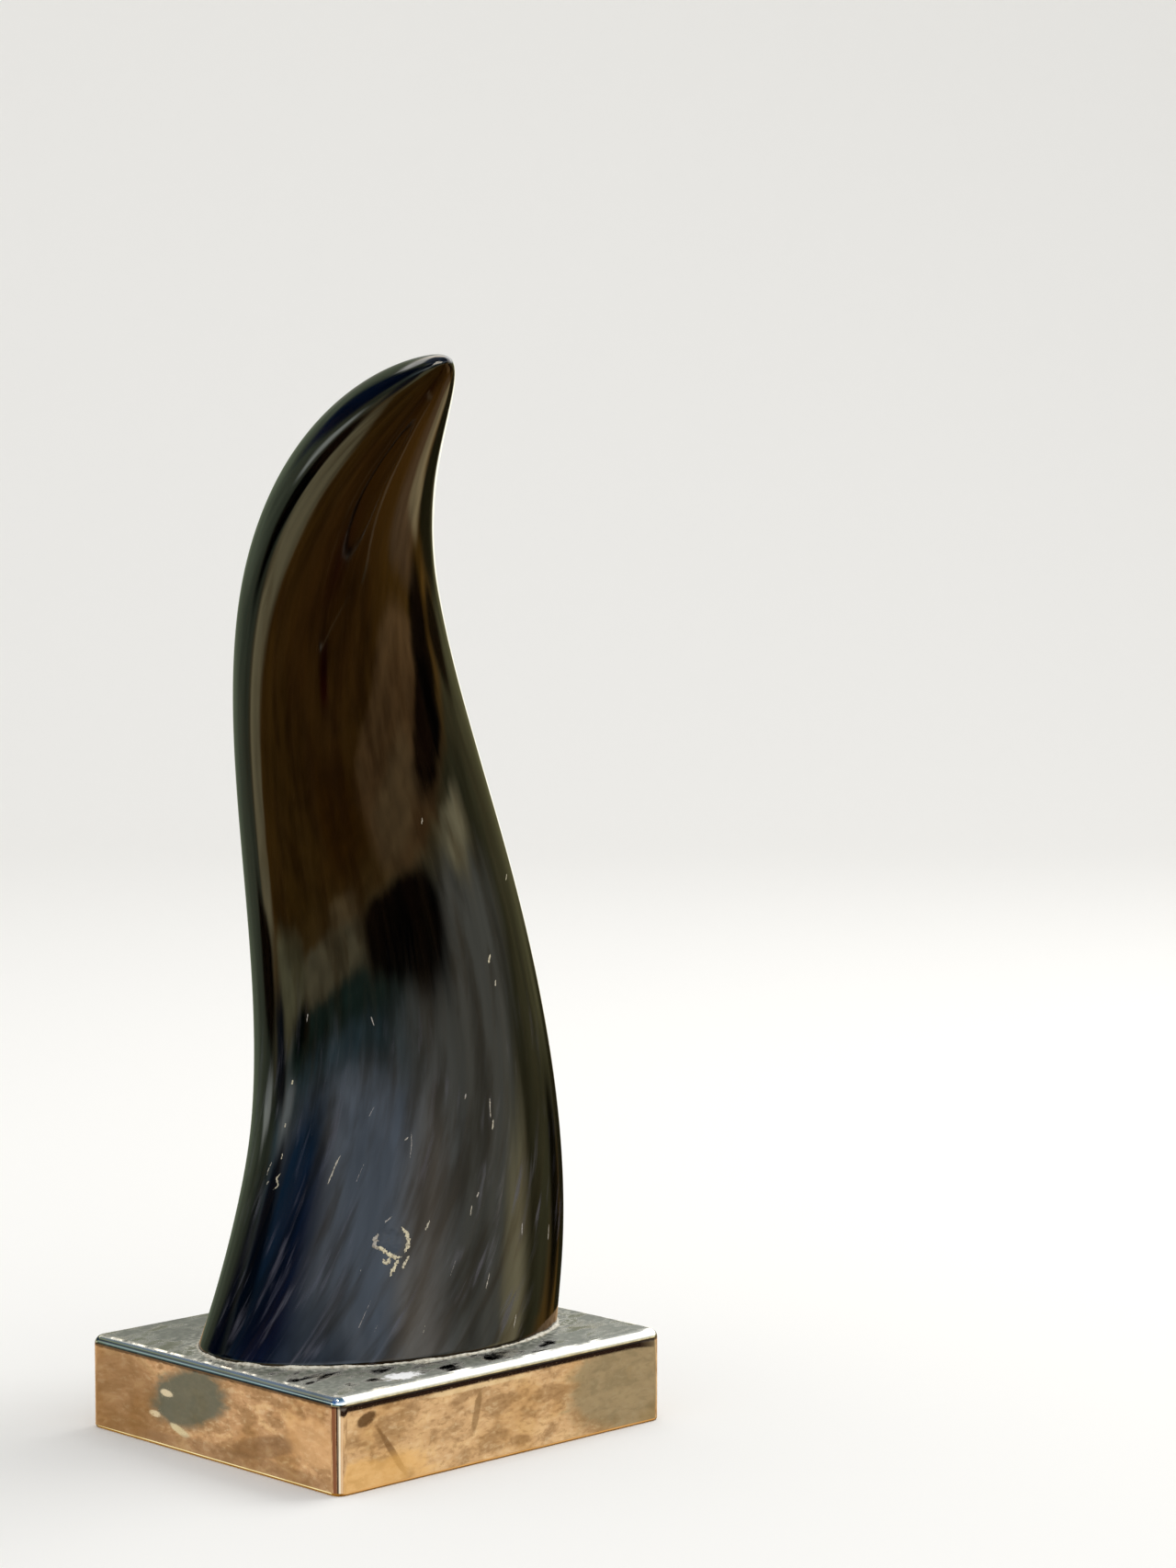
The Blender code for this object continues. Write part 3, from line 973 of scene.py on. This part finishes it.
# Each share, from 0 to 1: the value it comes from, where it sets in and where it is full
shares = {}
for name, value, start, end in (
    ("high up", height, 80.0 * MM, 160.0 * MM),
    ("low down", height, 120.0 * MM, 30.0 * MM),
    ("streaks", patterns["streaks"], 0.42, 0.66),
    ("brown patches", patterns["brown patches"], 0.46, 0.62),
    ("scuffed fibres", patterns["scuffed fibres"], 0.50, 0.72),
    ("scuffed areas", patterns["scuffed areas"], 0.46, 0.60),
    ("lustre", patterns["lustre"], 0.34, 0.58),
):
    inputs = {"Value": value, "From Min": start, "From Max": end}
    shares[name] = add(tree, "MapRange", inputs, interpolation_type="SMOOTHSTEP")
for name, first, second in (
    ("brown", "high up", "brown patches"),
    ("scuffs", "low down", "scuffed fibres"),
    ("scuffs", "scuffs", "scuffed areas"),
):
    inputs = {0: shares[first], 1: shares[second]}
    shares[name] = add(tree, "Math", inputs, operation="MULTIPLY")
# Black keratin, with brown growth streaks, browner patches high up and grey scuffs low down
colour = linear("020202")
for name, strength, tone in (
    ("streaks", 1.0, "0d0804"),
    ("brown", 0.5, "170c05"),
    ("scuffs", 0.38, "5c5a66"),
):
    share = add(tree, "Math", {0: shares[name], 1: strength}, operation="MULTIPLY")
    inputs = {"Factor": share, "A": colour, "B": linear(tone)}
    colour = add(tree, "Mix", inputs, data_type="RGBA")
# Streaks that took the polish less well reflect less
inputs = {"Factor": shares["lustre"], "A": linear("cdc4b9"), "B": linear("ffffff")}
tint = add(tree, "Mix", inputs, data_type="RGBA")
# A wheel's polish, duller on the streaks and dullest on the scuffs
rough = add(tree, "MapRange", {"Value": shares["streaks"], "To Min": 0.05, "To Max": 0.085})
rough = add(tree, "Math", {0: shares["scuffs"], 1: 0.25, 2: rough}, operation="MULTIPLY_ADD")
# Ridges that the sanding left, too low to see but for how they break up a reflection
inputs = {0: patterns["fine ridges"], 1: 0.2, 2: patterns["ridges"]}
relief = add(tree, "Math", inputs, operation="MULTIPLY_ADD")
bump = add(tree, "Bump", {"Height": relief, "Strength": 1.0, "Distance": 0.007 * MM})
inputs = {"Base Color": colour, "Roughness": rough, "IOR": KERATIN_IOR}
inputs.update({"Specular Tint": tint, "Normal": bump})
shader = add(tree, "BsdfPrincipled", inputs)
add(tree, "OutputMaterial", {"Surface": shader})
horn.data.materials.append(buffed_horn)
print("horn finish:", buffed_horn.name)

# %% Torn keratin
# Dry and unpolished, so it scatters the light and looks pale. Its grit is half a millimetre
GRIT = 0.55 * MM
torn_horn, tree = new_material("torn dry keratin")
tones = add(tree, "Attribute", attribute_name="tone").outputs["Vector"]
tone = add(tree, "SeparateXYZ", {"Vector": tones}).outputs["X"]
place = add(tree, "TexCoord").outputs["Object"]
grit = add(tree, "TexNoise", {"Vector": place, "Scale": 1.0 / GRIT, "Detail": 3.0})
inputs = {"Factor": tone, "A": linear("7a7682"), "B": linear("d6cba8")}
colour = add(tree, "Mix", inputs, data_type="RGBA")
share = add(tree, "MapRange", {"Value": grit, "From Min": 0.48, "From Max": 0.7})
inputs = {"Factor": share, "A": colour, "B": linear("6a5c4a")}
colour = add(tree, "Mix", inputs, data_type="RGBA")
rough = add(tree, "MapRange", {"Value": grit, "To Min": 0.4, "To Max": 0.8})
bump = add(tree, "Bump", {"Height": grit, "Strength": 0.6, "Distance": 0.05 * MM})
inputs = {"Base Color": colour, "Roughness": rough, "IOR": KERATIN_IOR, "Normal": bump}
shader = add(tree, "BsdfPrincipled", inputs)
add(tree, "OutputMaterial", {"Surface": shader})
marks.data.materials.append(torn_horn)
print("mark finish:", torn_horn.name)

# %% [markdown]
# ## The plinth
#
# A block with softened edges, silver plated and polished. A mirror shows every fault of
# its shape, so the faces are a fine mesh with the faint waves that polishing by hand
# leaves, and the rounded edges have many rows. The plain solid from the frame would do
# for a matt block, but not for this one.

# %% Rings of the plinth
PLINTH_TOP = plinth_high.z
CORNER_RADIUS = 3.0 * MM
TOP_RADIUS = 2.6 * MM
UNDER_RADIUS = 0.8 * MM
CORNER_STEPS = 12
SIDE_STEPS = 60
SMALLEST_RADIUS = 0.4 * MM
# Rows over the lower edge, the faces, the top edge and the top, which crowd to the edges
UNDER_ROWS = 6
FACE_ROWS = 20
EDGE_ROWS = 33
TOP_ROWS = 59
TOP_CROWDING = 1.4
# The plate lies this far inside the solid, so that its waves don't stand proud of it
PLATE_INSET = 0.03 * MM
PLATE_TOP = PLINTH_TOP - PLATE_INSET


def rounded_ring(inset):
    """A rectangle with rounded corners, this far inside the plinth's outline."""
    radius = max(CORNER_RADIUS - inset, SMALLEST_RADIUS)
    half = PLINTH_HALF - PLATE_INSET - inset - radius
    # Points crowd towards the corners, where the shape changes
    share = 0.5 - 0.5 * np.cos(np.linspace(0.0, math.pi, SIDE_STEPS + 1))[1:-1]
    ring = []
    for quarter in range(4):
        middle = np.array(CORNERS[quarter]) * half
        turn = quarter * math.pi / 2.0 + np.linspace(0.0, math.pi / 2.0, CORNER_STEPS + 1)
        arc = middle + radius * np.stack([np.cos(turn), np.sin(turn)], axis=1)
        next_turn = (quarter + 1) * math.pi / 2.0
        following = np.array(CORNERS[(quarter + 1) % 4]) * half
        following = following + radius * np.array([math.cos(next_turn), math.sin(next_turn)])
        ring.append(arc)
        ring.append(arc[-1] + share[:, None] * (following - arc[-1]))
    return np.concatenate(ring)


def plinth_rows():
    """Each row's inset and height, from the underside's rim up and in over the top."""
    rows = []
    for turn in np.linspace(0.0, math.pi / 2.0, UNDER_ROWS):
        rows.append((UNDER_RADIUS * (1.0 - math.sin(turn)), UNDER_RADIUS * (1.0 - math.cos(turn))))
    low, high = UNDER_RADIUS, PLATE_TOP - TOP_RADIUS
    for share in 0.5 - 0.5 * np.cos(np.linspace(0.0, math.pi, FACE_ROWS + 2))[1:-1]:
        rows.append((0.0, low + share * (high - low)))
    for turn in np.linspace(0.0, math.pi / 2.0, EDGE_ROWS):
        rows.append((TOP_RADIUS * (1.0 - math.cos(turn)), high + TOP_RADIUS * math.sin(turn)))
    inner = PLINTH_HALF.min() - 1.0 * MM
    for share in np.linspace(0.0, 1.0, TOP_ROWS + 1)[1:] ** TOP_CROWDING:
        rows.append((TOP_RADIUS + share * (inner - TOP_RADIUS), high + TOP_RADIUS))
    return rows


rings = [(rounded_ring(inset), level) for inset, level in plinth_rows()]
plate = np.array([np.column_stack([ring, np.full(len(ring), level)]) for ring, level in rings])
print("the plate's grid has", plate.shape[0] * plate.shape[1], "points")

# %% Wave the plate and make its mesh
# Waves that polishing leaves: size and height
PLATE_WAVES = ((21.0 * MM, 0.012 * MM), (7.0 * MM, 0.0022 * MM))
lift = np.zeros(plate.shape[:2])
for size, height in PLATE_WAVES:
    lift += height * np.array([[noise.noise(Vector(p) / size) for p in row] for row in plate])
# The rows of the lower edge stay as they are, so the underside stays flat
lift[:UNDER_ROWS] = 0.0
plate = plate + lift[..., None] * surface_normals(plate)
print("the waves reach", round(1000 * float(np.abs(lift).max()), 3), "mm")


def make_plinth_skin():
    rows, columns = plate.shape[:2]
    faces = grid_faces(rows, columns).tolist()
    faces.append(tuple(range(columns - 1, -1, -1)))
    faces.append(tuple((rows - 1) * columns + k for k in range(columns)))
    plinth = object_from_points("plinth_skin", plate.reshape(-1, 3).tolist(), faces)
    plinth.data.shade_smooth()
    return plinth


plinth = make_plinth_skin()
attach(plinth, "root")
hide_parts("plinth")
# The horn mirrors the painted surroundings where it would mirror the plate
plinth.visible_glossy = False
print("the plinth's skin has", len(plinth.data.polygons), "faces")

# %% [markdown]
# ## Silver plate
#
# Silver over a base metal, polished to a mirror: metallic, with a slightly warm white
# colour and almost no roughness. Wiping leaves fine scratches. On top, smears of dried
# adhesive dull the mirror, and dark clear gaps are left between them. One patch of it near the
# front is painted white, as a painted glint of the sun. Just under the rounded top edge a thin
# dark line is painted, as a painted reflection of something dark.

# %% Places on the plate


def on_plate(pixel):
    """Where the line of sight through a pixel meets the plinth's top."""
    line = sight_line(pixel)
    return CAMERA_AT + line * ((PLATE_TOP - CAMERA_AT.z) / line.z)


# The place of a painted glint of the sun: a patch of film there is painted white
GLINT_FILM_PIXEL = (438, 1497)
GLINT_FILM_AT = on_plate(GLINT_FILM_PIXEL)
print("the painted glint film lies at", [round(1000 * value, 1) for value in GLINT_FILM_AT])

# %% Patterns of the plate
# Hardly rough at all, so that the plate shows its surroundings almost sharp
silver, tree = new_material("polished silver plate")
place = add(tree, "TexCoord").outputs["Object"]
# Each pattern: its size in millimetres along and across, its turn, and its detail. Wipe
# scratches are far finer on the real plate, and drawn this wide so that they show
PLATE_PATTERNS = {
    "wipes": (16.0, 0.4, 25.0, 2.0),
    "cross wipes": (12.0, 0.4, -50.0, 2.0),
    "clouds": (14.0, 14.0, 0.0, 4.0),
    "film": (9.0, 4.5, 15.0, 5.0),
    "film grain": (1.6, 1.6, 0.0, 4.0),
}
patterns = {}
for name, (along_mm, across_mm, turn, detail) in PLATE_PATTERNS.items():
    inputs = {
        "Vector": place,
        "Rotation": (0.0, 0.0, math.radians(turn)),
        "Scale": (along_mm * MM, across_mm * MM, across_mm * MM),
    }
    sized = add(tree, "Mapping", inputs, vector_type="TEXTURE")
    inputs = {"Vector": sized, "Scale": 1.0, "Detail": detail}
    patterns[name] = add(tree, "TexNoise", inputs)
# How far out from the horn's oval foot, where 1 is its edge
inputs = {
    "Vector": place,
    "Location": (FOOT[0] * MM, FOOT[1] * MM, 0.0),
    "Rotation": (0.0, 0.0, SECTION_TURN),
    "Scale": (FOOT[3] * MM, FOOT[4] * MM, 1.0),
}
ovalness = add(tree, "Mapping", inputs, vector_type="TEXTURE")
ovalness = add(tree, "VectorMath", {0: ovalness}, operation="LENGTH")
# A patch of film painted white as a painted glint of the sun, wiped out along the near edge, with a
# ragged rim
GLINT_FILM_REACH = (7.5 * MM, 4.2 * MM, 1.0)
GLINT_FILM_RAGGEDNESS = 1.2
inputs = {"Vector": place, "Location": GLINT_FILM_AT, "Scale": GLINT_FILM_REACH}
to_glint_film = add(tree, "Mapping", inputs, vector_type="TEXTURE")
to_glint_film = add(tree, "VectorMath", {0: to_glint_film}, operation="LENGTH")
inputs = {0: patterns["film grain"], 1: GLINT_FILM_RAGGEDNESS, 2: to_glint_film}
to_glint_film = add(tree, "Math", inputs, operation="MULTIPLY_ADD")
level = add(tree, "SeparateXYZ", {"Vector": place}).outputs["Z"]
# A wavy level for a thin dark line painted just under the rounded top edge, as a painted reflection
inputs = {0: patterns["film grain"], 1: 0.5 * MM, 2: level}
wavy_level = add(tree, "Math", inputs, operation="MULTIPLY_ADD")
print("the plate has", len(patterns), "patterns")

# %% Polished silver plate
shares = {}
for name, value, start, end in (
    ("on top", level, PLATE_TOP - 0.5 * MM, PLATE_TOP - 0.1 * MM),
    ("film", patterns["film"], 0.34, 0.56),
    ("pale film", patterns["film grain"], 0.40, 0.66),
    ("near foot", ovalness, 1.16, 1.02),
    ("painted glint film", to_glint_film, 1.6, 1.15),
    ("clouds", patterns["clouds"], 0.45, 0.70),
    ("wipes", patterns["wipes"], 0.60, 0.78),
    ("cross wipes", patterns["cross wipes"], 0.60, 0.78),
    ("above line", wavy_level, PLATE_TOP - 2.9 * MM, PLATE_TOP - 2.3 * MM),
    ("below line", wavy_level, PLATE_TOP - 1.4 * MM, PLATE_TOP - 2.0 * MM),
):
    inputs = {"Value": value, "From Min": start, "From Max": end}
    shares[name] = add(tree, "MapRange", inputs, interpolation_type="SMOOTHSTEP")
for name, kind, first, second in (
    ("all wipes", "MAXIMUM", "wipes", "cross wipes"),
    ("painted dark line", "MULTIPLY", "above line", "below line"),
    ("ring", "MULTIPLY", "near foot", "pale film"),
    ("film", "MAXIMUM", "film", "ring"),
    ("film", "MAXIMUM", "film", "painted glint film"),
    ("film", "MULTIPLY", "film", "on top"),
):
    shares[name] = add(tree, "Math", {0: shares[first], 1: shares[second]}, operation=kind)
# The film is greenish grey, paler in grains and round the foot, and painted white in one patch as a
# painted glint of the sun
film_colour = linear("5e6257")
for name, strength, tone in (
    ("pale film", 0.6, "8c8f82"),
    ("ring", 0.8, "c9c8ba"),
    ("painted glint film", 1.0, "ffffff"),
):
    share = add(tree, "Math", {0: shares[name], 1: strength}, operation="MULTIPLY")
    inputs = {"Factor": share, "A": film_colour, "B": linear(tone)}
    film_colour = add(tree, "Mix", inputs, data_type="RGBA")
inputs = {"Factor": shares["clouds"], "A": linear("f3efe6"), "B": linear("e6dcc6")}
colour = add(tree, "Mix", inputs, data_type="RGBA")
# A thin dark line is painted all round just under the top edge, as a painted reflection
share = add(tree, "Math", {0: shares["painted dark line"], 1: 0.75}, operation="MULTIPLY")
inputs = {"Factor": share, "A": colour, "B": linear("3c3028")}
colour = add(tree, "Mix", inputs, data_type="RGBA")
inputs = {"Factor": shares["film"], "A": colour, "B": film_colour}
colour = add(tree, "Mix", inputs, data_type="RGBA")
metal = add(tree, "MapRange", {"Value": shares["film"], "To Min": 1.0, "To Max": 0.15})
rough = add(tree, "MapRange", {"Value": shares["clouds"], "To Min": 0.035, "To Max": 0.06})
rough = add(tree, "Math", {0: shares["all wipes"], 1: 0.06, 2: rough}, operation="MULTIPLY_ADD")
rough = add(tree, "Math", {0: shares["film"], 1: 0.30, 2: rough}, operation="MULTIPLY_ADD")
inputs = {0: shares["all wipes"], 1: 0.3, 2: shares["film"]}
relief = add(tree, "Math", inputs, operation="MULTIPLY_ADD")
bump = add(tree, "Bump", {"Height": relief, "Strength": 1.0, "Distance": 0.006 * MM})
inputs = {"Base Color": colour, "Metallic": metal, "Roughness": rough, "Normal": bump}
shader = add(tree, "BsdfPrincipled", inputs)
add(tree, "OutputMaterial", {"Surface": shader})
plinth.data.materials.append(silver)
print("plinth finish:", silver.name)

# %% [markdown]
# ## The bead of adhesive
#
# What squeezed out when the horn was pressed down: a thin, uneven, off-white line, with
# one thicker blob in front. It could be a plain ring, but it is its unevenness that says
# glue. So one section is swept round the foot, and noise swells and grains it.

# %% The bead
BEAD_STEPS = 900
BEAD_WIDE = 1.25 * MM
BEAD_HIGH = 0.75 * MM
# The bead's section: shares of its width out from the horn and of its height up
BEAD_SECTION = ((-0.25, 0.0), (-0.22, 0.75), (0.05, 1.0), (0.4, 0.85), (0.75, 0.45), (1.0, 0.0))
BEAD_SINK = 0.05 * MM
BLOB_PIXEL = (347, 1484)
BLOB_REACH = 1.9 * MM
BLOB_WIDENING = 0.5
BLOB_RISE = 0.9
# The bead's size as a share of the full one, and how its swells and its lumps change it
BEAD_USUAL, BEAD_THINNEST, BEAD_HIGHEST = 0.6, 0.28, 1.1
BEAD_SWELL, SWELL_SIZE = 0.7, 6.0 * MM
BEAD_LUMP, LUMP_SIZE = 0.25, 1.1 * MM
BEAD_GRAIN, GRAIN_SIZE = 0.15, 0.5 * MM
foot_angles = np.linspace(0.0, 2.0 * math.pi, BEAD_STEPS, endpoint=False)
foot_ring = horn_grid(np.array([0.0, 0.002]), foot_angles)[0]
ahead = np.roll(foot_ring, -1, axis=0) - np.roll(foot_ring, 1, axis=0)
outward = np.stack([ahead[:, 1], -ahead[:, 0], np.zeros(BEAD_STEPS)], axis=1)
outward /= np.linalg.norm(outward, axis=1)[:, None]


def make_bead():
    blob = on_plate(BLOB_PIXEL)
    points, tones = [], []
    for at, out in zip(foot_ring, outward):
        spot = Vector(at)
        broad = noise.noise(spot / SWELL_SIZE)
        rough = noise.noise(spot / LUMP_SIZE)
        size = max(BEAD_THINNEST, BEAD_USUAL + BEAD_SWELL * broad + BEAD_LUMP * rough)
        bulge = math.exp(-(((spot.xy - blob.xy).length / BLOB_REACH) ** 2))
        for share_out, share_up in BEAD_SECTION:
            grain = noise.noise(Vector((share_out * 2.0, share_up, 0.0)) + spot / GRAIN_SIZE)
            grain = 1.0 + BEAD_GRAIN * grain
            wide = BEAD_WIDE * (size + BLOB_WIDENING * bulge) * grain
            high = BEAD_HIGH * (min(size, BEAD_HIGHEST) + BLOB_RISE * bulge) * grain
            point = spot + Vector(out) * share_out * wide
            point.z = PLATE_TOP - BEAD_SINK + share_up * (high + BEAD_SINK)
            points.append(point)
            tones.append((bulge, share_up, broad))
    columns = len(BEAD_SECTION)
    faces = []
    for i in range(BEAD_STEPS):
        low, high = i * columns, (i + 1) % BEAD_STEPS * columns
        for j in range(columns):
            k = (j + 1) % columns
            faces.append((low + j, high + j, high + k, low + k))
    bead = object_from_points("bead_skin", points, faces)
    lay_attribute(bead.data, "tone", np.array(tones))
    bead.data.shade_smooth()
    return bead


bead = make_bead()
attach(bead, "root")
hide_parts("glue_bead")
print("the bead has", len(bead.data.polygons), "faces")

# %% Dried adhesive
# It dried rough, so it is off-white and dull, with dirt in its hollows a millimetre apart
DIRT = 1.3 * MM
adhesive, tree = new_material("dried white adhesive")
tones = add(tree, "Attribute", attribute_name="tone").outputs["Vector"]
blob = add(tree, "SeparateXYZ", {"Vector": tones}).outputs["X"]
place = add(tree, "TexCoord").outputs["Object"]
dirt = add(tree, "TexNoise", {"Vector": place, "Scale": 1.0 / DIRT, "Detail": 4.0})
share = add(tree, "MapRange", {"Value": dirt, "From Min": 0.45, "From Max": 0.68})
inputs = {"Factor": share, "A": linear("ded8c6"), "B": linear("a59b84")}
colour = add(tree, "Mix", inputs, data_type="RGBA")
inputs = {"Factor": blob, "A": colour, "B": linear("cba28a")}
colour = add(tree, "Mix", inputs, data_type="RGBA")
rough = add(tree, "MapRange", {"Value": dirt, "To Min": 0.3, "To Max": 0.6})
bump = add(tree, "Bump", {"Height": dirt, "Strength": 0.6, "Distance": 0.08 * MM})
inputs = {"Base Color": colour, "Roughness": rough, "Normal": bump}
shader = add(tree, "BsdfPrincipled", inputs)
add(tree, "OutputMaterial", {"Surface": shader})
bead.data.materials.append(adhesive)
print("bead finish:", adhesive.name)

# %% The boxes of the solid and of the dressed object
dressed_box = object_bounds()
for name, box in (("solid", solid_box), ("dressed", dressed_box)):
    print(name, [[round(value / MM, 2) for value in corner] for corner in box])
